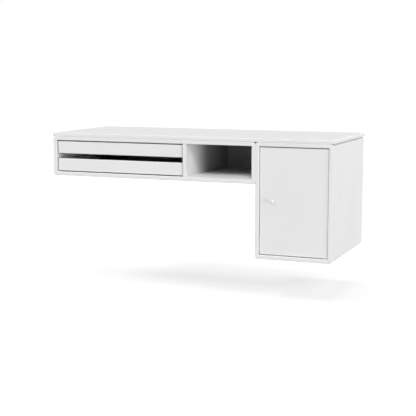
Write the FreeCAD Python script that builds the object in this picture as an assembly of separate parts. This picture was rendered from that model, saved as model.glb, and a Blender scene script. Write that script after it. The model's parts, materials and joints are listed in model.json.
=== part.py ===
import FreeCAD, Part
import math
import os
from FreeCAD import Vector

# Wall-hung desk: a low module with two trays and an open niche, a tall cabinet module with a door,
# and one worktop over both. Millimetres. X runs to the right as seen from the front, Y runs towards
# the wall and Z runs up. The origin lies on the wall plane, in the middle of the carcass's width, at
# the height of the worktop's upper face.

# Board and module grid
WIDTH = 936.0           # both modules side by side
HEIGHT = 354.0          # the cabinet module
DEPTH = 380.0
PANEL = 12.0            # every carcass panel, the divider, the worktop and the fronts
DESK_COLUMNS = 3        # grid columns and rows, counted between the centre planes of panels
DESK_ROWS = 2
CABINET_COLUMNS = 1
CABINET_ROWS = 6
NICHE_W = 214.0         # clear width of the open niche beside the trays
BEVEL = 5.5             # 45 degree bevel along the long outer corners of a module
EDGE_R = 1.5            # eased front edges of the carcass panels
WORKTOP_R = 2.0         # eased edges of the worktop
WORKTOP_OVERHANG = 3.0  # on the left and on the right
BACK = 8.0              # back panel thickness
WALL_SPACE = 8.0        # from the back panel to the wall, for the hanging bars
GROOVE = 5.0            # how deep a back panel sits in its carcass panels

# Fronts
REVEAL = 2.0            # gap above and below the door
DOOR_SIDE_GAP = 1.5
TRAY_LEFT_GAP = 4.0     # beside the tray fronts
TRAY_RIGHT_GAP = 3.0
RECESS = 4.0            # the fronts lie this far behind the carcass's front edges
FRONT_R = 2.0           # eased edges of the fronts
INNER_R = 0.8           # eased edges that only show when a front is open

# Trays
TRAY_TOP_GAP = 3.2
TRAY_LOW_GAP = 3.0
FINGER_GAP = 16.8       # between the two tray fronts, where fingers pull them
TRAY_SIDE = 10.0        # thickness of the sides and the back of a tray
TRAY_SIDE_DROP = 3.75   # the sides are lower than the front by this, above and below
TRAY_REAR_GAP = 18.0    # from the tray's back to the back panel
TRAY_BOTTOM = 4.0
TRAY_BOTTOM_LIFT = 4.0  # from the lower edge of the sides to the bottom panel
TRAY_GROOVE = 5.0

# Ball runners, one on each side of a tray
RUNNER_T = 10.0         # from the carcass wall to the tray side
RUNNER_H = 17.0
RUNNER_SETBACK = 2.0    # from the tray front's back face to the runner's front end
RUNNER_REAR_GAP = 18.0  # from the runner's rear end to the tray's rear end
RUNNER_SCREW_INSET = 16.0
STRIP = 1.2             # sheet thickness of the runner members
BEND_R = 0.8            # inner radius of a member's bends
BALL_R = 1.5
BALL_X = 5.9            # ball centres from the carcass wall
RACE_GAP = 0.05         # radial play of a ball in its race
RACE_TURN = 35.0        # each race ends this many degrees before the plane through the ball centres
CAGE_T = 0.5
CAGE_START = 2.9        # web of the ball cage, from the wall
CAGE_EDGE = 0.5         # cage beyond the holes for the balls
CAGE_LENGTH = 76.0
BALLS_PER_ROW = 4
BALL_PITCH = 20.0
BALL_PLAY = 0.03        # radial play of a ball in its cage
CAGE_PLAY = 2.0         # from each end of the cage to the end of the member that stops it, tray out
STOP_PLAY = 0.3         # moving member to the rear stop when the tray is shut

# Door
HINGE_INSET = 9.0       # hinge axis from the door's right edge
PIN_R = 2.0
PIN_PLAY = 0.05         # radial play of a hinge pin in its bush
PIN_SOCKET = 9.0        # pin length inside the carcass panel
PIN_REACH = 12.0        # pin length beyond the carcass panel
COLLAR_R = 4.5
COLLAR_T = 0.8
BUSH_R = 3.5
BUSH_LENGTH = 12.0
BUSH_FLANGE_R = 5.0
BUSH_FLANGE_T = 1.0
KNOB_INSET = 40.5       # knob axis from the door's left edge
KNOB_LENGTH = 16.0
KNOB_R = 6.8
KNOB_HEAD_T = 5.0       # straight part of the head
KNOB_EDGE_R = 1.4       # rounded rim of the head
KNOB_NECK_R = 3.2
KNOB_FOOT_R = 4.6
KNOB_FOOT_T = 1.0
KNOB_BORE = 11.0        # depth of the hole for its screw

# Magnet catch: the housing sits on the cabinet's left panel, the steel strike plate on the door
CATCH_W = 13.0
CATCH_D = 17.0
CATCH_H = 30.0
CATCH_R = 1.0
CATCH_GAP = 0.3         # from the strike plate to the housing
EAR_H = 10.0            # the housing's ears, above and below it
EAR_T = 3.0
MAGNET_T = 6.0
MAGNET_D = 12.2
MAGNET_H = 26.0
MAGNET_REACH = 0.2      # how far the magnet stands out of the housing
STRIKE_W = 12.0
STRIKE_T = 1.0
STRIKE_R = 2.0
STRIKE_INSET = 6.0      # from the strike plate's lower end to its screw

# Fasteners
SCREW_R = 1.75
SCREW_HEAD_R = 2.75
SCREW_HEAD_T = 1.5
SINK_R = 3.4            # countersunk head at the surface
SINK_T = 1.8
DOWEL_R = 3.0
DOWEL_LENGTH = 20.0
BOARD_BITE = 8.0        # screw or dowel depth in a 12 mm panel
WORKTOP_BITE = 6.0      # screw depth in the worktop
TRAY_BITE = 7.0         # screw or dowel depth in a tray's board
SCREW_INSET = 40.0      # fasteners from the carcass's front edge, back panel and walls
SLEEVE_R = 4.0          # connector nut's barrel
CONNECTOR_R = 2.5       # connector bolt's shank
CONNECTOR_HEAD_R = 6.0
CONNECTOR_HEAD_T = 1.5
CONNECTOR_REACH = 20.0  # length of bolt and barrel under their heads

# Hanging bars
BAR = 2.0               # sheet thickness of the hanging bars
BAR_BASE = 26.0         # height of the flat part that is screwed on
BAR_HOOK = 12.0         # height of the hooked part
BAR_HOLE_R = 2.5
BAR_INSET = 28.0        # from a module's side panel to the end of its bars
BAR_HOLE_INSET = 20.0   # from the end of a bar to its outer hole
BAR_DROP = 60.0         # from the carcass's top to where the module's bar rests on the wall's bar
BAR_PLAY = 0.1          # between the module's bar and the wall, and the two hooks

# Places that follow from the sizes above
GRID_X = (WIDTH - 2 * PANEL) / (DESK_COLUMNS + CABINET_COLUMNS)
GRID_Z = (HEIGHT - PANEL) / CABINET_ROWS
LEFT = -WIDTH / 2
RIGHT = WIDTH / 2
JOINT = LEFT + DESK_COLUMNS * GRID_X + PANEL
FRONT = -DEPTH
TOP = -PANEL
DESK_H = DESK_ROWS * GRID_Z + PANEL
DESK_FLOOR = TOP - DESK_H
CABINET_FLOOR = TOP - HEIGHT
DIVIDER_RIGHT = JOINT - PANEL - NICHE_W
DIVIDER_LEFT = DIVIDER_RIGHT - PANEL
HANG_Z = TOP - BAR_DROP
BACK_REAR = -WALL_SPACE
BACK_FRONT = BACK_REAR - BACK
FACE = FRONT + RECESS
BEHIND_FACE = FACE + PANEL

TRAY_X0 = LEFT + PANEL + RUNNER_T
TRAY_X1 = DIVIDER_LEFT - RUNNER_T
TRAY_MID = (TRAY_X0 + TRAY_X1) / 2
TRAY_REAR = BACK_FRONT - TRAY_REAR_GAP
TRAY_FRONT_H = (DESK_H - 2 * PANEL - TRAY_TOP_GAP - FINGER_GAP - TRAY_LOW_GAP) / 2
TRAY_FRONT_TOP = TOP - PANEL - TRAY_TOP_GAP
TRAY_SIDE_TOP = TRAY_FRONT_TOP - TRAY_SIDE_DROP
TRAY_SIDE_LOW = TRAY_FRONT_TOP - TRAY_FRONT_H + TRAY_SIDE_DROP
TRAY_BOTTOM_LOW = TRAY_SIDE_LOW + TRAY_BOTTOM_LIFT
TRAY_DROP = TRAY_FRONT_H + FINGER_GAP
DOWEL_Z = TRAY_SIDE_TOP - 3 * DOWEL_R

RUNNER_Z = (TRAY_SIDE_TOP + TRAY_SIDE_LOW) / 2
RUNNER_FRONT = BEHIND_FACE + RUNNER_SETBACK
RUNNER_REAR = TRAY_REAR - RUNNER_REAR_GAP
TRAVEL = RUNNER_REAR - RUNNER_FRONT - CAGE_LENGTH - 2 * CAGE_PLAY
RACE_R = BALL_R + RACE_GAP
BALL_Z = RUNNER_H / 2 - STRIP - RACE_R          # ball centres above and below the runner's middle
RACE_X = RACE_R * math.cos(math.radians(RACE_TURN))     # from a ball's centre to the ends of its races
RACE_Z = RACE_R * math.sin(math.radians(RACE_TURN))
CAGE_MID = RUNNER_FRONT + CAGE_LENGTH / 2 + TRAVEL / 2 + CAGE_PLAY
RUNNER_SCREW_Y = [RUNNER_FRONT + RUNNER_SCREW_INSET, (RUNNER_FRONT + RUNNER_REAR) / 2,
                  RUNNER_REAR - RUNNER_SCREW_INSET]

DOOR_LEFT = JOINT + PANEL + DOOR_SIDE_GAP
DOOR_RIGHT = RIGHT - PANEL - DOOR_SIDE_GAP
DOOR_TOP = TOP - PANEL - REVEAL
DOOR_LOW = CABINET_FLOOR + PANEL + REVEAL
DOOR_MID = (DOOR_TOP + DOOR_LOW) / 2
HINGE = Vector(DOOR_RIGHT - HINGE_INSET, FACE + PANEL / 2, 0)
KNOB = Vector(DOOR_LEFT + KNOB_INSET, FACE, DOOR_MID)
CATCH_X = JOINT + PANEL
CATCH_Y = BEHIND_FACE + STRIKE_T + CATCH_GAP
MAGNET_X = CATCH_X + (CATCH_W + EAR_T) / 2
STRIKE_SCREW_Z = DOOR_MID - CATCH_H / 2 - SCREW_HEAD_R - 4

PLUS_X = Vector(1, 0, 0)
PLUS_Y = Vector(0, 1, 0)
PLUS_Z = Vector(0, 0, 1)


def box(x0, x1, y0, y1, z0, z1):
    return Part.makeBox(x1 - x0, y1 - y0, z1 - z0, Vector(x0, y0, z0))


def cylinder(radius, start, direction, length):
    return Part.makeCylinder(radius, length, start, direction)


def prism_y(outline, y0, y1):
    """A prism along Y over a closed outline of (x, z) points."""
    wire = Part.makePolygon([Vector(x, y0, z) for x, z in outline + outline[:1]])
    return Part.Face(wire).extrude(Vector(0, y1 - y0, 0))


def prism_x(outline, x0, x1):
    """A prism along X over a closed outline of (y, z) points."""
    wire = Part.makePolygon([Vector(x0, y, z) for y, z in outline + outline[:1]])
    return Part.Face(wire).extrude(Vector(x1 - x0, 0, 0))


def ease(shape, radius, chosen):
    """Rounds the edges for which chosen(edge's bounding box) is true."""
    return shape.makeFillet(radius, [edge for edge in shape.Edges if chosen(edge.BoundBox)])


def at_front(y):
    """Picks the edges that lie in the plane at y."""
    return lambda b: abs(b.YMin - y) < 0.01 and abs(b.YMax - y) < 0.01


def along_x(b):
    return b.YLength < 0.01 and b.ZLength < 0.01


def along_y(b):
    return b.XLength < 0.01 and b.ZLength < 0.01


def along_z(b):
    return b.XLength < 0.01 and b.YLength < 0.01


def cut_all(shape, tools):
    return shape.cut(Part.makeCompound(tools)) if tools else shape


def mirrored(shape, x):
    return shape.mirror(Vector(x, 0, 0), PLUS_X)


def moved(shape, offset):
    copy = shape.copy()
    copy.translate(offset)
    return copy


def write(name, shapes):
    """Writes one node: a single piece, or a group of like pieces that stay separate solids."""
    pieces = shapes if isinstance(shapes, list) else [shapes]
    solids = [solid for piece in pieces for solid in piece.Solids]
    node = solids[0] if len(solids) == 1 else Part.makeCompound(solids)
    node.exportStep("parts/" + name + ".step")


# ---------------------------------------------------------------- fasteners


def turned(shape, point, direction):
    """Moves a shape drawn with its tip towards -Z from the origin to a point and a direction."""
    shape = shape.copy()
    shape.Placement = FreeCAD.Placement(point, FreeCAD.Rotation(Vector(0, 0, -1), direction))
    return shape


def recess(height):
    """The cross in a screw head whose upper face is at this height."""
    slot = Part.makeBox(3.2, 0.8, 1.0, Vector(-1.6, -0.4, height - 1.0))
    return slot.fuse(slot.rotated(Vector(0, 0, 0), PLUS_Z, 90))


def pan_screw(point, direction, length):
    """A pan-head screw whose head sits on the surface at point."""
    head = Part.makeCylinder(SCREW_HEAD_R, SCREW_HEAD_T)
    head = ease(head, 0.6, lambda b: b.ZMin > SCREW_HEAD_T - 0.01)
    shank = Part.makeCylinder(SCREW_R, length - 2, Vector(0, 0, 2 - length))
    tip = Part.makeCone(0.4, SCREW_R, 2, Vector(0, 0, -length))
    screw = head.fuse([shank, tip]).removeSplitter().cut(recess(SCREW_HEAD_T))
    return turned(screw, point, direction)


def sunk_screw(point, direction, length):
    """A countersunk screw whose head is flush with the surface at point."""
    head = Part.makeCone(SCREW_R, SINK_R, SINK_T, Vector(0, 0, -SINK_T))
    shank = Part.makeCylinder(SCREW_R, length - 2 - SINK_T, Vector(0, 0, 2 - length))
    tip = Part.makeCone(0.4, SCREW_R, 2, Vector(0, 0, -length))
    screw = head.fuse([shank, tip]).removeSplitter().cut(recess(0))
    return turned(screw, point, direction)


def pan_hole(point, direction, length):
    """The hole that a pan-head screw cuts, from its surface to its tip."""
    return cylinder(SCREW_R, point, direction, length)


def sunk_hole(point, direction, length):
    sink = Part.makeCone(SCREW_R, SINK_R, SINK_T, Vector(0, 0, -SINK_T))
    return pan_hole(point, direction, length).fuse(turned(sink, point, direction))


def dowel(start, direction, length):
    """A round wooden dowel with chamfered ends."""
    peg = cylinder(DOWEL_R, start, direction, length)
    return peg.makeChamfer(0.8, [edge for edge in peg.Edges if edge.isClosed()])


def connector_bolt(seat):
    """The bolt from the niche: a flat head with a hexagon socket."""
    shank = cylinder(CONNECTOR_R, seat, PLUS_X, CONNECTOR_REACH)
    head = cylinder(CONNECTOR_HEAD_R, seat, -PLUS_X, CONNECTOR_HEAD_T)
    corners = [FreeCAD.Rotation(PLUS_X, 60 * i).multVec(PLUS_Z * 2) for i in range(7)]
    start = seat - PLUS_X * CONNECTOR_HEAD_T
    socket = Part.Face(Part.makePolygon([start + corner for corner in corners])).extrude(PLUS_X * 2.5)
    return head.fuse(shank).removeSplitter().cut(socket)


def connector_nut(seat):
    """The sleeve nut from the cabinet: a flat head on a bored barrel."""
    barrel = cylinder(SLEEVE_R, seat, -PLUS_X, CONNECTOR_REACH)
    head = cylinder(CONNECTOR_HEAD_R, seat, PLUS_X, CONNECTOR_HEAD_T)
    bore = cylinder(CONNECTOR_R, seat - PLUS_X * (CONNECTOR_REACH + 1), PLUS_X, CONNECTOR_REACH - 1)
    return barrel.fuse(head).removeSplitter().cut(bore)


# ---------------------------------------------------------------- carcass modules


def module_panels(x0, x1, z_low, z_high):
    """The mitred top, bottom, left and right panels of one module, as a dictionary."""
    outer = [(x0 + BEVEL, z_high), (x1 - BEVEL, z_high), (x1, z_high - BEVEL), (x1, z_low + BEVEL),
             (x1 - BEVEL, z_low), (x0 + BEVEL, z_low), (x0, z_low + BEVEL), (x0, z_high - BEVEL)]
    ring = prism_y(outer, FRONT, 0)
    ring = ring.cut(box(x0 + PANEL, x1 - PANEL, FRONT - 1, 1, z_low + PANEL, z_high - PANEL))
    ring = ease(ring, EDGE_R, at_front(FRONT))
    inset = PANEL - GROOVE
    ring = ring.cut(box(x0 + inset, x1 - inset, BACK_FRONT, BACK_REAR, z_low + inset, z_high - inset))

    inner = {"nw": (x0 + PANEL, z_high - PANEL), "ne": (x1 - PANEL, z_high - PANEL),
             "sw": (x0 + PANEL, z_low + PANEL), "se": (x1 - PANEL, z_low + PANEL)}
    outside = {"nw": (x0 - 1, z_high + 1), "ne": (x1 + 1, z_high + 1),
               "sw": (x0 - 1, z_low - 1), "se": (x1 + 1, z_low - 1)}
    sides = {"top": ("nw", "ne"), "bottom": ("sw", "se"), "left": ("nw", "sw"), "right": ("ne", "se")}
    panels = {}
    for side, (a, b) in sides.items():
        wedge = prism_y([outside[a], outside[b], inner[b], inner[a]], FRONT - 1, 1)
        panels[side] = ring.common(wedge).Solids[0]
    return panels


def back_panel(x0, x1, z_low, z_high):
    inset = PANEL - GROOVE
    return box(x0 + inset, x1 - inset, BACK_FRONT, BACK_REAR, z_low + inset, z_high - inset)


def worktop():
    slab = box(LEFT - WORKTOP_OVERHANG, RIGHT + WORKTOP_OVERHANG, FRONT, 0, -PANEL, 0)
    return ease(slab, WORKTOP_R, lambda b: b.YMin < -1)


def divider():
    board = box(DIVIDER_LEFT, DIVIDER_RIGHT, FRONT, BACK_FRONT, DESK_FLOOR + PANEL, TOP - PANEL)
    return ease(board, EDGE_R, lambda b: abs(b.YMax - FRONT) < 0.01 and along_z(b))


# ---------------------------------------------------------------- hanging bars


def wall_bar(x0, x1, holes):
    """The bar on the wall: a flat base with an upturned hook that stands clear of the wall."""
    hook = BAR + BAR_PLAY
    outline = [(0, HANG_Z - BAR_BASE), (-BAR, HANG_Z - BAR_BASE), (-BAR, HANG_Z - BAR),
               (-hook - BAR, HANG_Z - BAR), (-hook - BAR, HANG_Z + BAR_HOOK - 2),
               (-hook, HANG_Z + BAR_HOOK - 2), (-hook, HANG_Z), (0, HANG_Z)]
    bar = prism_x(outline, x0, x1)
    low = HANG_Z - BAR_BASE + 9.0
    return cut_all(bar, [cylinder(BAR_HOLE_R, Vector(x, -5, low), PLUS_Y, 6) for x in holes])


def module_bar(x0, x1, screws):
    """The bar on a back panel: its hook hangs down behind the hook of the wall bar."""
    web = HANG_Z + BAR_HOOK - 1.6
    lip = -BAR_PLAY
    outline = [(BACK_REAR, web), (lip - BAR, web), (lip - BAR, HANG_Z), (lip, HANG_Z), (lip, web + BAR),
               (BACK_REAR + BAR, web + BAR), (BACK_REAR + BAR, web + BAR_BASE), (BACK_REAR, web + BAR_BASE)]
    bar = prism_x(outline, x0, x1)
    return cut_all(bar, [pan_hole(*screw) for screw in screws])


def spaced(x0, x1, count):
    """Evenly spaced hole centres along a bar, the outer two at their inset from its ends."""
    first = x0 + BAR_HOLE_INSET
    step = (x1 - BAR_HOLE_INSET - first) / (count - 1)
    return [first + i * step for i in range(count)]


def bar_screws(xs):
    z = HANG_Z + BAR_HOOK + BAR_BASE / 2
    return [(Vector(x, BACK_REAR + BAR, z), -PLUS_Y, BAR + 6.0) for x in xs]


# ---------------------------------------------------------------- runners and trays


def arc(centre, radius, start, end):
    """An arc in the plane across the runner, from the start angle to the end angle in degrees."""
    points = []
    for angle in (start, (start + end) / 2, end):
        turn = math.radians(angle)
        points.append(centre + Vector(radius * math.cos(turn), 0, radius * math.sin(turn)))
    return Part.Arc(*points).toShape()


def rolled(half, y0, y1):
    """A rolled member. Half its outline, drawn from a lip to the middle, has the sheet on its right."""
    lower = [edge.mirror(Vector(0, 0, 0), PLUS_Z) for edge in half]
    wire = Part.Wire(Part.__sortEdges__(half + lower))
    face = wire.makeOffset2D(-STRIP, 0, True, True)
    face.translate(Vector(0, y0, 0))
    return face.extrude(Vector(0, y1 - y0, 0))


def ball_lugs(y, z0, z1):
    """Two lugs that stand in the balls' way, one above and one below the runner's middle."""
    return [box(BALL_X - 1, BALL_X + 1, y, y + STRIP, z0, z1),
            box(BALL_X - 1, BALL_X + 1, y, y + STRIP, -z1, -z0)]


def runner_screws(x, direction, length):
    return [(Vector(x, y, 0), direction, length) for y in RUNNER_SCREW_Y]


def fixed_member():
    """The channel on the carcass wall, with a closed rear end and two lugs that stop the cage."""
    y0 = RUNNER_FRONT
    y1 = RUNNER_REAR + STOP_PLAY
    flange = BALL_Z + RACE_Z
    bend = Vector(STRIP + BEND_R, 0, flange - BEND_R)
    half = [arc(Vector(BALL_X, 0, BALL_Z), RACE_R, RACE_TURN, 180 - RACE_TURN),
            Part.makeLine(Vector(BALL_X - RACE_X, 0, flange), Vector(bend.x, 0, flange)),
            arc(bend, BEND_R, 90, 180),
            Part.makeLine(Vector(STRIP, 0, bend.z), Vector(STRIP, 0, 0))]
    shape = rolled(half, y0, y1)
    stop = box(0, BALL_X + RACE_X, y1, y1 + STRIP, -bend.z, bend.z)
    lugs = ball_lugs(y0, BALL_Z - RACE_R / 2, BALL_Z + RACE_R + STRIP / 2)
    shape = shape.fuse([stop] + lugs).removeSplitter()
    return cut_all(shape, [pan_hole(*s) for s in runner_screws(STRIP, -PLUS_X, 5)])


def moving_member():
    """The narrower channel on the tray side, with two lugs at its rear end that catch the cage."""
    y0 = RUNNER_FRONT
    y1 = RUNNER_REAR
    flange = BALL_Z - RACE_Z
    corner = BEND_R + STRIP
    bend = Vector(RUNNER_T - corner, 0, flange - corner)
    half = [arc(Vector(BALL_X, 0, BALL_Z), RACE_R, RACE_TURN - 180, -RACE_TURN),
            Part.makeLine(Vector(BALL_X + RACE_X, 0, flange), Vector(bend.x, 0, flange)),
            arc(bend, corner, 90, 0),
            Part.makeLine(Vector(RUNNER_T, 0, bend.z), Vector(RUNNER_T, 0, 0))]
    shape = rolled(half, y0, y1)
    lugs = ball_lugs(y1 - STRIP, BALL_Z - RACE_R - STRIP / 2, BALL_Z + RACE_R / 2)
    shape = shape.fuse(lugs).removeSplitter()
    return cut_all(shape, [pan_hole(*s) for s in runner_screws(RUNNER_T - STRIP, PLUS_X, 5)])


def ball_places():
    first = CAGE_MID - BALL_PITCH * (BALLS_PER_ROW - 1) / 2
    return [Vector(BALL_X, first + i * BALL_PITCH, s * BALL_Z) for i in range(BALLS_PER_ROW) for s in (-1, 1)]


def cage():
    """The strip that spaces the balls: a web with a flange through each row of balls."""
    y0 = CAGE_MID - CAGE_LENGTH / 2
    y1 = CAGE_MID + CAGE_LENGTH / 2
    z = BALL_Z + CAGE_T / 2
    shape = box(CAGE_START, BALL_X + BALL_R + CAGE_EDGE, y0, y1, -z, z)
    shape = ease(shape, CAGE_T, lambda b: b.XMax < CAGE_START + 0.01 and along_y(b))
    shape = shape.cut(box(CAGE_START + CAGE_T, RUNNER_T, y0, y1, CAGE_T - z, z - CAGE_T))
    holes = [cylinder(BALL_R + BALL_PLAY, p - PLUS_Z, PLUS_Z, 2) for p in ball_places()]
    return cut_all(shape, holes)


def runner_place(shape):
    """From runner axes, with x from the wall and z from the middle, to the upper tray's left side."""
    return moved(shape, Vector(LEFT + PANEL, 0, RUNNER_Z))


def tray_front():
    z_high = TRAY_FRONT_TOP
    x0 = LEFT + PANEL + TRAY_LEFT_GAP
    x1 = DIVIDER_LEFT - TRAY_RIGHT_GAP
    board = box(x0, x1, FACE, BEHIND_FACE, z_high - TRAY_FRONT_H, z_high)
    board = ease(board, FRONT_R, at_front(FACE))
    return ease(board, INNER_R, at_front(BEHIND_FACE))


def tray_side():
    board = box(TRAY_X0, TRAY_X0 + TRAY_SIDE, BEHIND_FACE, TRAY_REAR, TRAY_SIDE_LOW, TRAY_SIDE_TOP)
    return ease(board, INNER_R, lambda b: along_y(b) and b.ZMin > TRAY_SIDE_TOP - 0.01)


def tray_back():
    board = box(TRAY_X0 + TRAY_SIDE, TRAY_X1 - TRAY_SIDE, TRAY_REAR - TRAY_SIDE, TRAY_REAR,
                TRAY_SIDE_LOW, TRAY_SIDE_TOP)
    return ease(board, INNER_R, lambda b: along_x(b) and b.ZMin > TRAY_SIDE_TOP - 0.01)


def tray_bottom():
    inset = TRAY_SIDE - TRAY_GROOVE
    return box(TRAY_X0 + inset, TRAY_X1 - inset, BEHIND_FACE - TRAY_GROOVE, TRAY_REAR - inset,
               TRAY_BOTTOM_LOW, TRAY_BOTTOM_LOW + TRAY_BOTTOM)


def tray_dowels():
    """Start and direction of the dowels from the left side into the front and into the back."""
    half = TRAY_SIDE / 2
    return [(Vector(TRAY_X0 + half, BEHIND_FACE - TRAY_BITE, DOWEL_Z), PLUS_Y, DOWEL_LENGTH),
            (Vector(TRAY_X0 + TRAY_SIDE - TRAY_BITE, TRAY_REAR - half, DOWEL_Z), PLUS_X, DOWEL_LENGTH)]


def tray_pieces():
    """Every piece of the upper tray and its runners, with the holes and grooves they share."""
    bottom = tray_bottom()
    dowels = [dowel(*peg) for peg in tray_dowels()]
    drilled = [cylinder(DOWEL_R, *peg) for peg in tray_dowels()]
    drilled += [mirrored(hole, TRAY_MID) for hole in drilled]
    to_wall = [runner_place(pan_screw(*s)) for s in runner_screws(STRIP, -PLUS_X, STRIP + BOARD_BITE)]
    to_side = [runner_place(pan_screw(*s))
               for s in runner_screws(RUNNER_T - STRIP, PLUS_X, STRIP + TRAY_BITE)]
    side_holes = [pan_hole(Vector(TRAY_X0, y, RUNNER_Z), PLUS_X, TRAY_BITE) for y in RUNNER_SCREW_Y]
    side = cut_all(tray_side(), side_holes + drilled + [bottom])
    balls = [runner_place(Part.makeSphere(BALL_R, p)) for p in ball_places()]
    return {
        "tray_front": [cut_all(tray_front(), drilled + [bottom])],
        "tray_left_side": [side],
        "tray_right_side": [mirrored(side, TRAY_MID)],
        "tray_back": [cut_all(tray_back(), drilled + [bottom])],
        "tray_bottom": [bottom],
        "tray_dowels": dowels + [mirrored(peg, TRAY_MID) for peg in dowels],
        "left_fixed_runner": [runner_place(fixed_member())],
        "right_fixed_runner": [mirrored(runner_place(fixed_member()), TRAY_MID)],
        "left_moving_runner": [runner_place(moving_member())],
        "right_moving_runner": [mirrored(runner_place(moving_member()), TRAY_MID)],
        "moving_runner_screws": to_side + [mirrored(screw, TRAY_MID) for screw in to_side],
        "fixed_runner_screws": to_wall + [mirrored(screw, TRAY_MID) for screw in to_wall],
        "left_ball_cage": [runner_place(cage())],
        "right_ball_cage": [mirrored(runner_place(cage()), TRAY_MID)],
        "balls": balls + [mirrored(ball, TRAY_MID) for ball in balls],
    }


# ---------------------------------------------------------------- door


def door_panel():
    board = box(DOOR_LEFT, DOOR_RIGHT, FACE, BEHIND_FACE, DOOR_LOW, DOOR_TOP)
    board = ease(board, FRONT_R, at_front(FACE))
    return ease(board, INNER_R, at_front(BEHIND_FACE))


def hinge_pins():
    """The two collared pins, standing in the bottom panel and hanging in the top panel."""
    pins = []
    for z, up in ((CABINET_FLOOR + PANEL, 1), (TOP - PANEL, -1)):
        seat = Vector(HINGE.x, HINGE.y, z)
        way = PLUS_Z * up
        rod = cylinder(PIN_R, seat - way * PIN_SOCKET, way, PIN_SOCKET + PIN_REACH)
        tip = z + up * PIN_REACH
        rod = rod.makeChamfer(0.5, [e for e in rod.Edges if abs(e.BoundBox.ZMin - tip) < 0.01
                                    and abs(e.BoundBox.ZMax - tip) < 0.01])
        pins.append(rod.fuse(cylinder(COLLAR_R, seat, way, COLLAR_T)).removeSplitter())
    return pins


def hinge_bushes():
    """The two flanged plastic bushes, pressed into the door's lower and upper edge."""
    bushes = []
    for z, up in ((DOOR_LOW, 1), (DOOR_TOP, -1)):
        seat = Vector(HINGE.x, HINGE.y, z)
        way = PLUS_Z * up
        barrel = cylinder(BUSH_R, seat, way, BUSH_LENGTH)
        flange = cylinder(BUSH_FLANGE_R, seat, -way, BUSH_FLANGE_T)
        bore = cylinder(PIN_R + PIN_PLAY, seat - way * 2, way, BUSH_LENGTH + 3)
        bushes.append(barrel.fuse(flange).removeSplitter().cut(bore))
    return bushes


def knob():
    """A small turned knob: a foot on the door, a hollowed neck that flares, and a rounded head."""
    def at(radius, height):
        return KNOB + Vector(radius, -height, 0)

    flare = KNOB_LENGTH - KNOB_HEAD_T
    waist = at(KNOB_NECK_R, (KNOB_FOOT_T + flare) * 0.4)
    outline = [Part.makeLine(at(0, 0), at(KNOB_FOOT_R, 0)),
               Part.makeLine(at(KNOB_FOOT_R, 0), at(KNOB_FOOT_R, KNOB_FOOT_T)),
               Part.Arc(at(KNOB_FOOT_R, KNOB_FOOT_T), waist, at(KNOB_R, flare)).toShape(),
               Part.makeLine(at(KNOB_R, flare), at(KNOB_R, KNOB_LENGTH)),
               Part.makeLine(at(KNOB_R, KNOB_LENGTH), at(0, KNOB_LENGTH)),
               Part.makeLine(at(0, KNOB_LENGTH), at(0, 0))]
    body = Part.Face(Part.Wire(outline)).revolve(KNOB, PLUS_Y, 360)
    body = ease(body, KNOB_EDGE_R, at_front(KNOB.y - KNOB_LENGTH))
    body = ease(body, INNER_R, at_front(KNOB.y - flare))
    return body.cut(cylinder(SCREW_R, KNOB, -PLUS_Y, KNOB_BORE))


def catch_screws():
    return [(Vector(CATCH_X + EAR_T, CATCH_Y + CATCH_D / 2, DOOR_MID + side * (CATCH_H + EAR_H) / 2),
             -PLUS_X, EAR_T + BOARD_BITE) for side in (-1, 1)]


def catch_magnet():
    return box(MAGNET_X - MAGNET_T / 2, MAGNET_X + MAGNET_T / 2, CATCH_Y - MAGNET_REACH,
               CATCH_Y - MAGNET_REACH + MAGNET_D, DOOR_MID - MAGNET_H / 2, DOOR_MID + MAGNET_H / 2)


def catch_housing():
    """The magnet's holder, with an ear above and below for its screws."""
    half = CATCH_H / 2
    body = box(CATCH_X, CATCH_X + CATCH_W, CATCH_Y, CATCH_Y + CATCH_D, DOOR_MID - half, DOOR_MID + half)
    ears = box(CATCH_X, CATCH_X + EAR_T, CATCH_Y, CATCH_Y + CATCH_D,
               DOOR_MID - half - EAR_H, DOOR_MID + half + EAR_H)
    shape = body.fuse(ears).removeSplitter()
    shape = ease(shape, CATCH_R, lambda b: b.XMin > CATCH_X + CATCH_W - 0.01)
    return cut_all(shape, [catch_magnet()] + [pan_hole(p - d, d, EAR_T + 2) for p, d, _ in catch_screws()])


def strike_screw():
    return (Vector(MAGNET_X, BEHIND_FACE + STRIKE_T, STRIKE_SCREW_Z), -PLUS_Y, STRIKE_T + BOARD_BITE)


def strike_plate():
    half = STRIKE_W / 2
    plate = box(MAGNET_X - half, MAGNET_X + half, BEHIND_FACE, BEHIND_FACE + STRIKE_T,
                STRIKE_SCREW_Z - STRIKE_INSET, DOOR_MID + MAGNET_H / 2 + 1)
    return ease(plate, STRIKE_R, along_y).cut(pan_hole(*strike_screw()))


# ---------------------------------------------------------------- assembly


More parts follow.
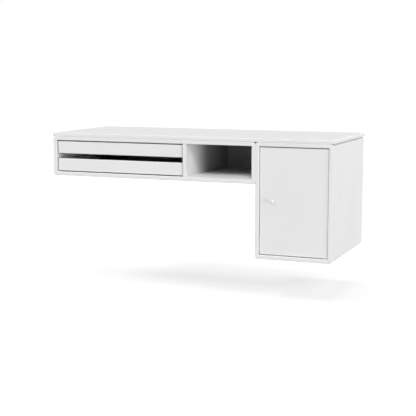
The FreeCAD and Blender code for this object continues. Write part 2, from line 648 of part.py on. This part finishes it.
def main():
    os.makedirs("parts", exist_ok=True)
    inside = DESK_FLOOR + PANEL

    front_row = FRONT + SCREW_INSET
    rear_row = BACK_FRONT - SCREW_INSET

    # Worktop screws, driven upwards through the top panels
    lift = PANEL + WORKTOP_BITE
    columns = [LEFT + PANEL + SCREW_INSET, TRAY_MID, DIVIDER_LEFT - SCREW_INSET,
               (DIVIDER_RIGHT + JOINT - PANEL) / 2]
    desk_screws = [(Vector(x, y, TOP - PANEL), PLUS_Z, lift) for x in columns for y in (front_row, rear_row)]
    cabinet_screws = [(Vector((JOINT + RIGHT) / 2, y, TOP - PANEL), PLUS_Z, lift)
                      for y in (front_row, rear_row)]
    write("worktop_screws", [sunk_screw(*s) for s in desk_screws + cabinet_screws])
    write("worktop", cut_all(worktop(), [pan_hole(*s) for s in desk_screws + cabinet_screws]))

    # Divider dowels, three above and three below
    pegs = []
    for y in (front_row, (front_row + rear_row) / 2, rear_row):
        x = (DIVIDER_LEFT + DIVIDER_RIGHT) / 2
        pegs.append((Vector(x, y, TOP - PANEL + BOARD_BITE), -PLUS_Z, DOWEL_LENGTH))
        pegs.append((Vector(x, y, inside - BOARD_BITE), PLUS_Z, DOWEL_LENGTH))
    peg_holes = [cylinder(DOWEL_R, *peg) for peg in pegs]
    write("divider_dowels", [dowel(*peg) for peg in pegs])

    # Trays, the lower one a copy of the upper one
    trays = tray_pieces()
    drop = Vector(0, 0, -TRAY_DROP)
    for name, pieces in trays.items():
        lower = [moved(piece, drop) for piece in pieces]
        if name == "fixed_runner_screws":
            write(name, pieces + lower)
        else:
            write("upper_" + name, pieces)
            write("lower_" + name, lower)
    wall_holes = [pan_hole(Vector(LEFT + PANEL, y, RUNNER_Z + s * drop.z), -PLUS_X, BOARD_BITE)
                  for y in RUNNER_SCREW_Y for s in (0, 1)]
    divider_holes = [mirrored(hole, TRAY_MID) for hole in wall_holes]
    write("divider", cut_all(divider(), peg_holes + divider_holes))

    # Connectors that clamp the cabinet to the desk module
    places = [Vector(JOINT, y, (TOP + DESK_FLOOR) / 2) for y in (front_row, rear_row)]
    joint_holes = [cylinder(SLEEVE_R, p - PLUS_X * PANEL, PLUS_X, 2 * PANEL) for p in places]
    bolts = []
    nuts = []
    for p in places:
        bolts.append(connector_bolt(p - PLUS_X * PANEL))
        nuts.append(connector_nut(p + PLUS_X * PANEL))
    write("connector_bolts", bolts)
    write("connector_nuts", nuts)

    # Hanging bars
    desk_span = (LEFT + PANEL + BAR_INSET, JOINT - PANEL - BAR_INSET)
    cabinet_span = (JOINT + PANEL + BAR_INSET, RIGHT - PANEL - BAR_INSET)
    desk_holes = spaced(*desk_span, 4)
    cabinet_holes = spaced(*cabinet_span, 2)
    desk_bar_screws = bar_screws(desk_holes)
    cabinet_bar_screws = bar_screws(cabinet_holes)
    write("desk_wall_bar", wall_bar(*desk_span, desk_holes))
    write("cabinet_wall_bar", wall_bar(*cabinet_span, cabinet_holes))
    write("desk_module_bar", module_bar(*desk_span, desk_bar_screws))
    write("cabinet_module_bar", module_bar(*cabinet_span, cabinet_bar_screws))
    write("module_bar_screws", [pan_screw(*s) for s in desk_bar_screws + cabinet_bar_screws])

    # Desk module
    desk = module_panels(LEFT, JOINT, DESK_FLOOR, TOP)
    write("desk_top_panel", cut_all(desk["top"], [sunk_hole(*s) for s in desk_screws] + peg_holes))
    write("desk_bottom_panel", cut_all(desk["bottom"], peg_holes))
    write("desk_left_panel", cut_all(desk["left"], wall_holes))
    write("desk_right_panel", cut_all(desk["right"], joint_holes))
    desk_back = back_panel(LEFT, JOINT, DESK_FLOOR, TOP)
    write("desk_back_panel", cut_all(desk_back, [pan_hole(*s) for s in desk_bar_screws]))

    # Cabinet module
    cabinet = module_panels(JOINT, RIGHT, CABINET_FLOOR, TOP)
    sockets = [cylinder(PIN_R, Vector(HINGE.x, HINGE.y, z), PLUS_Z, PIN_SOCKET)
               for z in (CABINET_FLOOR + PANEL - PIN_SOCKET, TOP - PANEL)]
    write("cabinet_top_panel", cut_all(cabinet["top"], [sunk_hole(*s) for s in cabinet_screws] + sockets))
    write("cabinet_bottom_panel", cut_all(cabinet["bottom"], sockets))
    catch_holes = [pan_hole(*s) for s in catch_screws()]
    write("cabinet_left_panel", cut_all(cabinet["left"], joint_holes + catch_holes))
    write("cabinet_right_panel", cabinet["right"])
    cabinet_back = back_panel(JOINT, RIGHT, CABINET_FLOOR, TOP)
    write("cabinet_back_panel", cut_all(cabinet_back, [pan_hole(*s) for s in cabinet_bar_screws]))

    # Door
    bush_holes = [cylinder(BUSH_R, Vector(HINGE.x, HINGE.y, z), PLUS_Z, BUSH_LENGTH)
                  for z in (DOOR_LOW, DOOR_TOP - BUSH_LENGTH)]
    knob_screw = (Vector(KNOB.x, BEHIND_FACE, KNOB.z), -PLUS_Y, PANEL + KNOB_BORE - 1.0)
    door_holes = bush_holes + [pan_hole(*knob_screw), pan_hole(*strike_screw())]
    write("door_panel", cut_all(door_panel(), door_holes))
    write("hinge_bushes", hinge_bushes())
    write("hinge_pins", hinge_pins())
    write("door_knob", knob())
    write("knob_screw", pan_screw(*knob_screw))
    write("strike_plate", strike_plate())
    write("strike_screw", pan_screw(*strike_screw()))
    write("catch_housing", catch_housing())
    write("catch_magnet", catch_magnet())
    write("catch_screws", [pan_screw(*s) for s in catch_screws()])


main()
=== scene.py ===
import json
import math
from collections import namedtuple

import bmesh
import bpy
from mathutils import Euler, Matrix, Vector


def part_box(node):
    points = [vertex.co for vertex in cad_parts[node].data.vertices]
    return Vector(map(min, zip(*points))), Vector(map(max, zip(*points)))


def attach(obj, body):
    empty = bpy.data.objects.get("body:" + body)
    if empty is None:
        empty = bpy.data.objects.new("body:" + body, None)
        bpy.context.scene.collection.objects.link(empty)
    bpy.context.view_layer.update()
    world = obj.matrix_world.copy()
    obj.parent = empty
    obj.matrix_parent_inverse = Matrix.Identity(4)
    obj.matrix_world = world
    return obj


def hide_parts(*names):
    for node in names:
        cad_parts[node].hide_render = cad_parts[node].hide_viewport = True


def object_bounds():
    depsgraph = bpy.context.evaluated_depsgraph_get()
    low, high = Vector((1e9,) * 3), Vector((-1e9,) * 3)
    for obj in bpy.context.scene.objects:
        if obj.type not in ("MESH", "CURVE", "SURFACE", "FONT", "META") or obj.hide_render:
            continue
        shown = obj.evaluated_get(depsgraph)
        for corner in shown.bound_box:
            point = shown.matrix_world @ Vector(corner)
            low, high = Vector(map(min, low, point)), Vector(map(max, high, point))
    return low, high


# Wall-hung desk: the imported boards, runners and fittings get their finishes, and the screws, bolts and
# dowels are dressed with threads, driver recesses and flutes. Metres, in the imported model's frame;
# sizes that end in _MM and the fasteners' own meshes are in millimetres.

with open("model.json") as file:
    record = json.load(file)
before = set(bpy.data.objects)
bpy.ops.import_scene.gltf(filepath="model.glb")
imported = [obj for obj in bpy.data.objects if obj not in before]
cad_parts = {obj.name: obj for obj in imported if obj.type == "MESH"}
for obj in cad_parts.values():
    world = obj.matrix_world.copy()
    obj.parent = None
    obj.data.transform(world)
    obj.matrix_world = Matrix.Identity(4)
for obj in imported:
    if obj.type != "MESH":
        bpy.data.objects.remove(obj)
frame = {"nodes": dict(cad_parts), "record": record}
cad_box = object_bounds()
nodes = frame["nodes"]
record = frame["record"]

MM = 0.001

# ---------------------------------------------------------------- camera, light and floor

CAMERA_AT = (1.234, -3.244, 0.217)
CAMERA_TILT = math.radians(81.97)
CAMERA_TURN = math.radians(22.03)
LENS_MM = 87.66
SENSOR_MM = 36.0

# Sun lamps: azimuth from the front towards the right, elevation and apparent size in degrees, strength.
# These light the object and leave out the floor
OBJECT_LAMPS = {
    "key": (22, 38, 24, 2.7),
    "left": (-45, 43, 40, 0.9),
    "right": (65, -4, 30, 1.37),
    "behind_right": (150, 20, 60, 1.6),
    "low_left": (-105, -20, 50, 1.88),
    "below": (180, -50, 60, 1.26),
}
# These light the floor alone, from high up, so that its shadow stays compact
FLOOR_LAMPS = {
    "above_rear": (180, 78, 28, 3.9),
    "above_left": (-60, 54, 28, 5.9),
    "above_right": (72, 41, 28, 4.2),
}

BOUNCES = 2                     # of diffuse light between surfaces

FLOOR_BELOW = 0.124             # how far the floor lies under the desk's lowest point
FLOOR_HALF = 40.0
FLOOR_ALBEDO = 0.1              # the share of its lamps' light that it sends back
FLOOR_GLOW = 0.785              # its own light, which only the eye sees


def add_camera():
    data = bpy.data.cameras.new("camera")
    data.lens = LENS_MM
    data.sensor_width = SENSOR_MM
    camera = bpy.data.objects.new("camera", data)
    camera.location = CAMERA_AT
    camera.rotation_euler = Euler((CAMERA_TILT, 0, CAMERA_TURN))
    bpy.context.scene.collection.objects.link(camera)
    bpy.context.scene.camera = camera


def add_sun(name, azimuth, elevation, size, strength):
    """A sun lamp that shines from the given direction."""
    data = bpy.data.lights.new(name, "SUN")
    data.energy = strength
    data.angle = math.radians(size)
    sun = bpy.data.objects.new(name, data)
    az = math.radians(azimuth)
    el = math.radians(elevation)
    towards = Vector((math.sin(az) * math.cos(el), -math.cos(az) * math.cos(el), math.sin(el)))
    sun.rotation_euler = towards.to_track_quat("Z", "Y").to_euler()
    bpy.context.scene.collection.objects.link(sun)
    return sun


def light_group(state, *objects):
    """Tells a lamp to leave the objects out (EXCLUDE) or to take them alone (INCLUDE)."""
    group = bpy.data.collections.new("light_group")
    for index, obj in enumerate(objects):
        group.objects.link(obj)
        group.collection_objects[index].light_linking.link_state = state
    return group


def add_lamps(floor):
    """The lamps of the object, and those of the floor."""
    for lamps, state in ((OBJECT_LAMPS, "EXCLUDE"), (FLOOR_LAMPS, "INCLUDE")):
        lit = light_group(state, floor)
        for name, settings in lamps.items():
            add_sun(name, *settings).light_linking.receiver_collection = lit


def soften_knob(*pieces):
    """Keeps the knob's mark on the door faint: no bounced light from it, no shadow from the key."""
    for piece in pieces:
        piece.visible_diffuse = False
    bpy.data.objects["key"].light_linking.blocker_collection = light_group("EXCLUDE", *pieces)


def calculate(tree, operation, *values):
    """A Math node over sockets and plain numbers, and its result."""
    node = tree.nodes.new("ShaderNodeMath")
    node.operation = operation
    for socket, value in zip(node.inputs, values):
        if isinstance(value, bpy.types.NodeSocket):
            tree.links.new(value, socket)
        else:
            socket.default_value = value
    return node.outputs[0]


def seen_by_eye(tree):
    """1 for camera, glossy and transmission rays, 0 for the rays that carry light to the object."""
    path = tree.nodes.new("ShaderNodeLightPath")
    seen = path.outputs["Is Camera Ray"]
    for ray in ("Is Glossy Ray", "Is Transmission Ray"):
        seen = calculate(tree, "MAXIMUM", seen, path.outputs[ray])
    return seen


def add_world():
    """Black for the light on the object, white where the eye sees past it."""
    world = bpy.data.worlds.new("studio")
    world.use_nodes = True
    tree = world.node_tree
    tree.nodes.clear()
    out = tree.nodes.new("ShaderNodeOutputWorld")
    backdrop = tree.nodes.new("ShaderNodeBackground")
    backdrop.inputs["Color"].default_value = (1, 1, 1, 1)
    tree.links.new(seen_by_eye(tree), backdrop.inputs["Strength"])
    tree.links.new(backdrop.outputs[0], out.inputs[0])
    bpy.context.scene.world = world


def floor_material():
    """Matt, with a glow of its own that makes it look white."""
    material = bpy.data.materials.new("floor")
    material.use_nodes = True
    tree = material.node_tree
    tree.nodes.clear()
    out = tree.nodes.new("ShaderNodeOutputMaterial")
    both = tree.nodes.new("ShaderNodeAddShader")
    diffuse = tree.nodes.new("ShaderNodeBsdfDiffuse")
    diffuse.inputs["Color"].default_value = (FLOOR_ALBEDO, FLOOR_ALBEDO, FLOOR_ALBEDO, 1)
    glow = tree.nodes.new("ShaderNodeEmission")
    tree.links.new(calculate(tree, "MULTIPLY", seen_by_eye(tree), FLOOR_GLOW), glow.inputs["Strength"])
    tree.links.new(diffuse.outputs[0], both.inputs[0])
    tree.links.new(glow.outputs[0], both.inputs[1])
    tree.links.new(both.outputs[0], out.inputs[0])
    return material


def add_floor():
    """A pale floor that looks white, keeps the desk's shadow and throws no light back at it."""
    z = cad_box[0][2] - FLOOR_BELOW
    half = FLOOR_HALF
    mesh = bpy.data.meshes.new("floor")
    corners = [(-half, -half, z), (half, -half, z), (half, half, z), (-half, half, z)]
    mesh.from_pydata(corners, [], [(0, 1, 2, 3)])
    mesh.materials.append(floor_material())
    floor = bpy.data.objects.new("floor", mesh)
    bpy.context.scene.collection.objects.link(floor)
    floor.visible_shadow = False
    floor.visible_diffuse = False
    return floor


# ---------------------------------------------------------------- finishes

PATTERN_LOW = 0.3               # most of a noise pattern lies between these values
PATTERN_HIGH = 0.7
MATT_SPECULAR = 0.3             # of the lacquers; 0.5 is the plain value

# A Mix node has sockets for every kind of data: these are the ones for colours
MIX_FACTOR = 0
MIX_FIRST = 6
MIX_SECOND = 7
MIX_RESULT = 2


class Finish:
    """A Principled material, with short ways to add patterns that are sized in millimetres."""

    def __init__(self, name, metallic=0.0, specular=0.5):
        self.material = bpy.data.materials.new(name)
        self.material.use_nodes = True
        self.tree = self.material.node_tree
        self.shader = self.tree.nodes["Principled BSDF"]
        self.shader.inputs["Metallic"].default_value = metallic
        self.shader.inputs["Specular IOR Level"].default_value = specular
        self.place = self.tree.nodes.new("ShaderNodeTexCoord").outputs["Object"]
        self.normal = None

    def link(self, output, socket):
        self.tree.links.new(output, socket)

    def scaled(self, sizes_mm):
        """The place in the piece, counted in pattern sizes along X, Y and Z."""
        mapping = self.tree.nodes.new("ShaderNodeMapping")
        mapping.inputs["Scale"].default_value = [1 / (size * MM) for size in sizes_mm]
        self.link(self.place, mapping.inputs["Vector"])
        return mapping.outputs[0]

    def noise(self, *sizes_mm, detail=2.0):
        """Cloudy noise with one size, or with its own size along X, Y and Z."""
        noise = self.tree.nodes.new("ShaderNodeTexNoise")
        noise.inputs["Scale"].default_value = 1
        noise.inputs["Detail"].default_value = detail
        self.link(self.scaled(sizes_mm if len(sizes_mm) == 3 else sizes_mm * 3), noise.inputs["Vector"])
        return noise.outputs[0]

    def cells(self, size_mm):
        """A random value for each of many small cells."""
        cells = self.tree.nodes.new("ShaderNodeTexVoronoi")
        cells.inputs["Scale"].default_value = 1
        self.link(self.scaled((size_mm,) * 3), cells.inputs["Vector"])
        grey = self.tree.nodes.new("ShaderNodeSeparateColor")
        self.link(cells.outputs["Color"], grey.inputs[0])
        return grey.outputs[0]

    def rings(self, centre, pitch_mm):
        """Turning marks: waves that run outwards from an axis along Y."""
        mapping = self.tree.nodes.new("ShaderNodeMapping")
        mapping.inputs["Location"].default_value = (-centre.x, 0, -centre.z)
        mapping.inputs["Scale"].default_value = (1, 0, 1)
        self.link(self.place, mapping.inputs["Vector"])
        distance = self.tree.nodes.new("ShaderNodeVectorMath")
        distance.operation = "LENGTH"
        self.link(mapping.outputs[0], distance.inputs[0])
        phase = calculate(self.tree, "MULTIPLY", distance.outputs["Value"], math.tau / (pitch_mm * MM))
        return calculate(self.tree, "SINE", phase)

    def spread(self, pattern, low, high):
        """Stretches the middle range of a pattern between two values."""
        between = self.tree.nodes.new("ShaderNodeMapRange")
        between.inputs["From Min"].default_value = PATTERN_LOW
        between.inputs["From Max"].default_value = PATTERN_HIGH
        between.inputs["To Min"].default_value = low
        between.inputs["To Max"].default_value = high
        self.link(pattern, between.inputs["Value"])
        return between.outputs[0]

    def colour(self, pattern, dark, light):
        """Blends two close colours over the middle range of a pattern."""
        mix = self.tree.nodes.new("ShaderNodeMix")
        mix.data_type = "RGBA"
        mix.inputs[MIX_FIRST].default_value = (*dark, 1)
        mix.inputs[MIX_SECOND].default_value = (*light, 1)
        self.link(self.spread(pattern, 0, 1), mix.inputs[MIX_FACTOR])
        self.link(mix.outputs[MIX_RESULT], self.shader.inputs["Base Color"])

    def roughness(self, pattern, low, high):
        self.link(self.spread(pattern, low, high), self.shader.inputs["Roughness"])

    def bump(self, pattern, height_mm):
        """Adds relief of the given height to the bumps that are there."""
        bump = self.tree.nodes.new("ShaderNodeBump")
        bump.inputs["Distance"].default_value = height_mm * MM
        self.link(pattern, bump.inputs["Height"])
        if self.normal:
            self.link(self.normal, bump.inputs["Normal"])
        self.normal = bump.outputs[0]
        self.link(self.normal, self.shader.inputs["Normal"])


def white_lacquer():
    """Sprayed matt lacquer on fibreboard: hardly any tone, a fine orange peel in its soft gloss."""
    finish = Finish("white_lacquer", specular=MATT_SPECULAR)
    finish.colour(finish.noise(130), dark=(0.792, 0.792, 0.792), light=(0.808, 0.808, 0.808))
    finish.roughness(finish.noise(28), low=0.54, high=0.66)
    finish.bump(finish.noise(1.6, detail=1), height_mm=0.008)
    finish.bump(finish.noise(0.3), height_mm=0.002)
    return finish


def knob_lacquer():
    """The same lacquer on turned metal, where the tool's rings still show in the gloss. Its colour is a
    shade darker than the boards' lacquer: painted shade that tones down the light the small knob catches.
    """
    finish = Finish("knob_lacquer", specular=MATT_SPECULAR)
    low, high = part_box("door_knob")
    middle = (Vector(low) + Vector(high)) / 2
    # Painted shade: a darker white than the boards' lacquer, so that the knob renders less bright than
    # the same lacquer would
    finish.colour(finish.noise(6), dark=(0.74, 0.74, 0.74), light=(0.76, 0.76, 0.76))
    finish.roughness(finish.noise(3), low=0.48, high=0.6)
    finish.bump(finish.rings(middle, pitch_mm=0.5), height_mm=0.003)
    finish.bump(finish.noise(0.4), height_mm=0.002)
    return finish


def raw_wood():
    """Beech with its fibres and the short flecks of its rays."""
    finish = Finish("raw_wood")
    finish.colour(finish.noise(1.2, 1.2, 14, detail=4), dark=(0.62, 0.45, 0.28), light=(0.78, 0.61, 0.42))
    finish.roughness(finish.noise(0.8), low=0.55, high=0.72)
    finish.bump(finish.noise(0.25, 0.25, 5), height_mm=0.03)
    finish.bump(finish.cells(0.7), height_mm=0.01)
    return finish


def zinc_steel():
    """Bright zinc plate: a bluish to yellowish bloom over the lines of the rolled sheet."""
    finish = Finish("zinc_steel", metallic=1.0)
    finish.colour(finish.noise(7, 16, 7, detail=3), dark=(0.40, 0.43, 0.48), light=(0.55, 0.54, 0.50))
    finish.roughness(finish.noise(0.5, 30, 0.5), low=0.28, high=0.46)
    finish.bump(finish.noise(0.35, 45, 0.35), height_mm=0.006)
    finish.bump(finish.cells(0.8), height_mm=0.002)
    return finish


def bearing_steel():
    """Polished balls with faint running marks."""
    finish = Finish("bearing_steel", metallic=1.0)
    finish.colour(finish.noise(1.5), dark=(0.56, 0.56, 0.59), light=(0.65, 0.65, 0.66))
    finish.roughness(finish.noise(0.3, 3, 0.3), low=0.05, high=0.14)
    finish.bump(finish.noise(0.2), height_mm=0.0005)
    return finish


def bar_aluminium():
    """Mill finish, with the die's lines along the extruded bar."""
    finish = Finish("bar_aluminium", metallic=1.0)
    finish.colour(finish.noise(90, 4, 4, detail=3), dark=(0.41, 0.42, 0.43), light=(0.54, 0.54, 0.54))
    finish.roughness(finish.noise(50, 0.6, 0.6), low=0.28, high=0.46)
    finish.bump(finish.noise(120, 0.3, 0.3), height_mm=0.01)
    return finish


def bush_plastic():
    """Moulded nylon, off-white and slightly uneven."""
    finish = Finish("bush_plastic")
    finish.colour(finish.noise(5), dark=(0.79, 0.79, 0.76), light=(0.84, 0.84, 0.82))
    finish.roughness(finish.noise(1.2), low=0.42, high=0.58)
    finish.bump(finish.noise(0.5), height_mm=0.008)
    return finish


def magnet():
    """Sintered ferrite: nearly black, grainy and matt."""
    finish = Finish("magnet")
    finish.colour(finish.cells(0.25), dark=(0.09, 0.09, 0.10), light=(0.16, 0.16, 0.17))
    finish.roughness(finish.noise(0.6), low=0.6, high=0.82)
    finish.bump(finish.cells(0.25), height_mm=0.02)
    return finish


# Each finish has the name of the material slot that it is for
FINISHES = (white_lacquer, knob_lacquer, raw_wood, zinc_steel, bearing_steel, bar_aluminium,
            bush_plastic, magnet)


# ---------------------------------------------------------------- fasteners

SIDES = 24                      # corners round a turned form
WELD_MM = 0.0005
END_MM = 0.1                    # how near to a fastener's end a corner counts as on it
SHARP = math.radians(32)        # edges that turn more than this stay sharp
SPIN = math.radians(137.5)      # how far each screw of a group is turned from the one before

# core and crest are radii. Each corner says where along one pitch it lies and how far it rises from core
# to crest. taper and tip are the length and the end radius of the point, 0 on a blunt shank
Thread = namedtuple("Thread", "core crest pitch corners taper tip")

WOOD_THREAD = Thread(core=1.2, crest=1.75, pitch=1.3, taper=3.0, tip=0.25,
                     corners=((0.0, 0.0), (0.5, 0.0), (0.7, 1.0), (0.8, 1.0)))
MACHINE_THREAD = Thread(core=2.1, crest=2.5, pitch=0.8, taper=0, tip=0,
                        corners=((0.0, 0.0), (0.5, 1.0)))

HEAD_R = 2.75                   # pan head
HEAD_T = 1.5
HEAD_EDGE = 0.6                 # its rounded rim
HEAD_STEPS = 3                  # runs in that rounding
SINK_R = 3.4                    # countersunk head
SINK_T = 1.8

CROSS_REACH = 1.6               # the driver's cross, at the face of the head
CROSS_HALF = 0.42
CROSS_DEPTH = 1.2
CROSS_TAPER = 0.45              # how much of it is left at its floor

BOLT_HEAD_R = 6.0
BOLT_HEAD_T = 1.5
BOLT_EDGE = 0.4
SOCKET_R = 2.0                  # hexagon socket, out to its corners
SOCKET_SIDES = 6
SOCKET_DEPTH = 1.4

DOWEL_R = 3.0
DOWEL_CHAMFER = 0.8
FLUTES = 16
FLUTE_DEPTH = 0.25
FLUTE_CORNERS = 3               # the flute's own and two on the land beside it


def turned_point(radius, angle, z):
    """A point at the given radius and angle round the fastener's axis."""
    return radius * math.cos(angle), radius * math.sin(angle), z


def ring(part, radii, z):
    """A ring of corners round the axis, one for each radius."""
    count = len(radii)
    return [part.verts.new(turned_point(radii[i], math.tau * i / count, z)) for i in range(count)]


def skin(part, loops):
    """Faces from each loop of corners down to the next, which has as many."""
    for upper, lower in zip(loops, loops[1:]):
        for index in range(len(upper)):
            after = (index + 1) % len(upper)
            part.faces.new((upper[index], upper[after], lower[after], lower[index]))


def lathe(part, outline):
    """Skins a turned outline of (radius, z) points, and gives back its first ring."""
    rings = [ring(part, [radius] * SIDES, z) for radius, z in outline]
    skin(part, rings)
    return rings[0]


def pierce(part, rim, corners, depth, taper):
    """Closes the flat face inside a ring, with a recess of the given outline sunk into it."""
    z = rim[0].co.z
    mouth = [part.verts.new((x, y, z)) for x, y in corners]
    floor = [part.verts.new((x * taper, y * taper, z - depth)) for x, y in corners]
    edges = []
    for loop in (rim, mouth):
        for first, second in zip(loop, loop[1:] + loop[:1]):
            edges.append(part.edges.get((first, second)) or part.edges.new((first, second)))
    bmesh.ops.triangle_fill(part, edges=edges, use_beauty=True, normal=(0, 0, 1))
    skin(part, (mouth, floor))
    part.faces.new(floor)


def cross_corners():
    """The outline of the driver's cross: one arm, turned to each quarter."""
    arm = ((CROSS_REACH, -CROSS_HALF), (CROSS_REACH, CROSS_HALF), (CROSS_HALF, CROSS_HALF))
    corners = []
    for quarter in range(4):
        turn = Matrix.Rotation(quarter * math.pi / 2, 2)
        corners += [tuple(turn @ Vector(corner)) for corner in arm]
    return corners


def cut_thread(part, form, top, bottom):
    """A shank with a helical thread, whose mesh rows follow the helix, from top down to bottom."""
    steps = len(form.corners)
    last = math.ceil((top - bottom) / form.pitch + 1) * steps
    rows = {}
    for row in range(-steps, last + steps):
        along, rise = form.corners[row % steps]
        for side in range(SIDES):
            z = top - (row // steps + along + side / SIDES) * form.pitch
            z = min(top, max(bottom, z))
            core = form.core
            if form.taper:
                core = form.tip + (form.core - form.tip) * min(1, (z - bottom) / form.taper)
            run_out = min(1, (top - z) / form.pitch, (z - bottom) / form.pitch)
            radius = core + rise * run_out * (form.crest - form.core)
            rows[row, side] = part.verts.new(turned_point(radius, math.tau * side / SIDES, z))
    for row in range(-steps, last - 1):
        for side in range(SIDES):
            after = (row, side + 1) if side + 1 < SIDES else (row + steps, 0)
            below = (after[0] + 1, after[1])
            part.faces.new((rows[row, side], rows[after], rows[below], rows[row + 1, side]))
    end = form.tip if form.taper else form.core
    part.faces.new(ring(part, [end] * SIDES, bottom))


def wood_screw(part, head, seat, length):
    """A screw from its turned head down to its point, with a cross for the driver."""
    rim = lathe(part, head + [(WOOD_THREAD.core, -seat)])
    pierce(part, rim, cross_corners(), CROSS_DEPTH, CROSS_TAPER)
    cut_thread(part, WOOD_THREAD, -seat, -length)


def pan_screw(part, length):
    """A wood screw with a flat head whose rim is rounded."""
    head = []
    for step in range(HEAD_STEPS + 1):
        turn = step * math.pi / 2 / HEAD_STEPS
        head.append((HEAD_R - HEAD_EDGE + HEAD_EDGE * math.sin(turn), HEAD_EDGE * (math.cos(turn) - 1)))
    wood_screw(part, head + [(HEAD_R, -HEAD_T)], HEAD_T, length)


def sunk_screw(part, length):
    """A wood screw with a countersunk head."""
    wood_screw(part, [(SINK_R, 0), (WOOD_THREAD.crest, -SINK_T)], SINK_T, length)


def bolt(part, length):
    """A connector bolt: a flat head with a hexagon socket on a machine thread."""
    rim = lathe(part, [(BOLT_HEAD_R - BOLT_EDGE, 0), (BOLT_HEAD_R, -BOLT_EDGE),
                       (BOLT_HEAD_R, -BOLT_HEAD_T), (MACHINE_THREAD.core, -BOLT_HEAD_T)])
    turns = [math.tau * corner / SOCKET_SIDES for corner in range(SOCKET_SIDES)]
    pierce(part, rim, [turned_point(SOCKET_R, turn, 0)[:2] for turn in turns], SOCKET_DEPTH, taper=1)
    cut_thread(part, MACHINE_THREAD, -BOLT_HEAD_T, -length)


def fluted_dowel(part, length):
    """A dowel whose flutes let the glue rise."""
    depths = ([FLUTE_DEPTH] + [0] * (FLUTE_CORNERS - 1)) * FLUTES
    ends = ((DOWEL_CHAMFER, 0), (0, -DOWEL_CHAMFER),
            (0, DOWEL_CHAMFER - length), (DOWEL_CHAMFER, -length))
    loops = [ring(part, [DOWEL_R - inset - depth for depth in depths], z) for inset, z in ends]
    skin(part, loops)
    part.faces.new(loops[0])
    part.faces.new(loops[-1])


def solids(node):
    """The corners of each separate solid of a CAD node."""
    shape = bmesh.new()
    shape.from_mesh(nodes[node].data)
    bmesh.ops.remove_doubles(shape, verts=shape.verts, dist=WELD_MM * MM)
    found = []
    for first in shape.verts:
        if first.tag:
            continue
        first.tag = True
        reached = [first]
        for vert in reached:
            for edge in vert.link_edges:
                other = edge.other_vert(vert)
                if not other.tag:
                    other.tag = True
                    reached.append(other)
        found.append([vert.co.copy() for vert in reached])
    shape.free()
    return found


def axes(node):
    """For each fastener of a node: the middle of its wide end, its direction and its length."""
    found = []
    for corners in solids(node):
        low = Vector(min(corner[i] for corner in corners) for i in range(3))
        high = Vector(max(corner[i] for corner in corners) for i in range(3))
        along = max(range(3), key=lambda i: high[i] - low[i])
        widths = []
        for end in (low[along], high[along]):
            middle = (low + high) / 2
            middle[along] = end
            near = [corner for corner in corners if abs(corner[along] - end) < END_MM * MM]
            widths.append((max((corner - middle).length for corner in near), middle))
        widths.sort(key=lambda pair: pair[0])
        (_, tip), (_, head) = widths
        found.append((head, (tip - head).normalized(), (tip - head).length))
    return found


def dress(node, build):
    """Stands a detailed fastener in for each solid of a CAD node, as one piece."""
    name = node + "_detail"
    shape = bmesh.new()
    for index, (head, direction, length) in enumerate(axes(node)):
        part = bmesh.new()
        build(part, length / MM)
        bmesh.ops.remove_doubles(part, verts=part.verts, dist=WELD_MM)
        bmesh.ops.recalc_face_normals(part, faces=part.faces)
        turn = Vector((0, 0, -1)).rotation_difference(direction).to_matrix().to_4x4()
        spin = Matrix.Rotation(index * SPIN, 4, "Z")
        place = Matrix.Translation(head) @ turn @ spin @ Matrix.Scale(MM, 4)
        bmesh.ops.transform(part, matrix=place, verts=part.verts)
        fastener = bpy.data.meshes.new(name)
        part.to_mesh(fastener)
        part.free()
        shape.from_mesh(fastener)
        bpy.data.meshes.remove(fastener)
    mesh = bpy.data.meshes.new(name)
    shape.to_mesh(mesh)
    shape.free()
    mesh.polygons.foreach_set("use_smooth", [True] * len(mesh.polygons))
    mesh.set_sharp_from_angle(angle=SHARP)
    piece = bpy.data.objects.new(name, mesh)
    bpy.context.scene.collection.objects.link(piece)
    mesh.materials.append(nodes[node].data.materials[0])
    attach(piece, body_of(node))
    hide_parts(node)
    return piece


def body_of(node):
    return next(body for body, names in record["behaviour"]["bodies"].items() if node in names)


def slot_of(node):
    return next(sub["material_slot"] for sub in record["subparts"] if sub["node"] == node)


# What stands in for each CAD node of small fasteners
FASTENERS = {
    "worktop_screws": sunk_screw,
    "fixed_runner_screws": pan_screw,
    "upper_moving_runner_screws": pan_screw,
    "lower_moving_runner_screws": pan_screw,
    "module_bar_screws": pan_screw,
    "knob_screw": pan_screw,
    "strike_screw": pan_screw,
    "catch_screws": pan_screw,
    "connector_bolts": bolt,
    "divider_dowels": fluted_dowel,
    "upper_tray_dowels": fluted_dowel,
    "lower_tray_dowels": fluted_dowel,
}


# ---------------------------------------------------------------- the whole


def main():
    add_camera()
    add_world()
    add_lamps(add_floor())
    finishes = {build.__name__: build().material for build in FINISHES}
    for node, piece in nodes.items():
        piece.data.materials.clear()
        piece.data.materials.append(finishes[slot_of(node)])
    dressed = {node: dress(node, build) for node, build in FASTENERS.items()}
    soften_knob(nodes["door_knob"], dressed["knob_screw"])
    scene = bpy.context.scene
    scene.view_settings.view_transform = "Standard"
    scene.cycles.diffuse_bounces = BOUNCES


main()
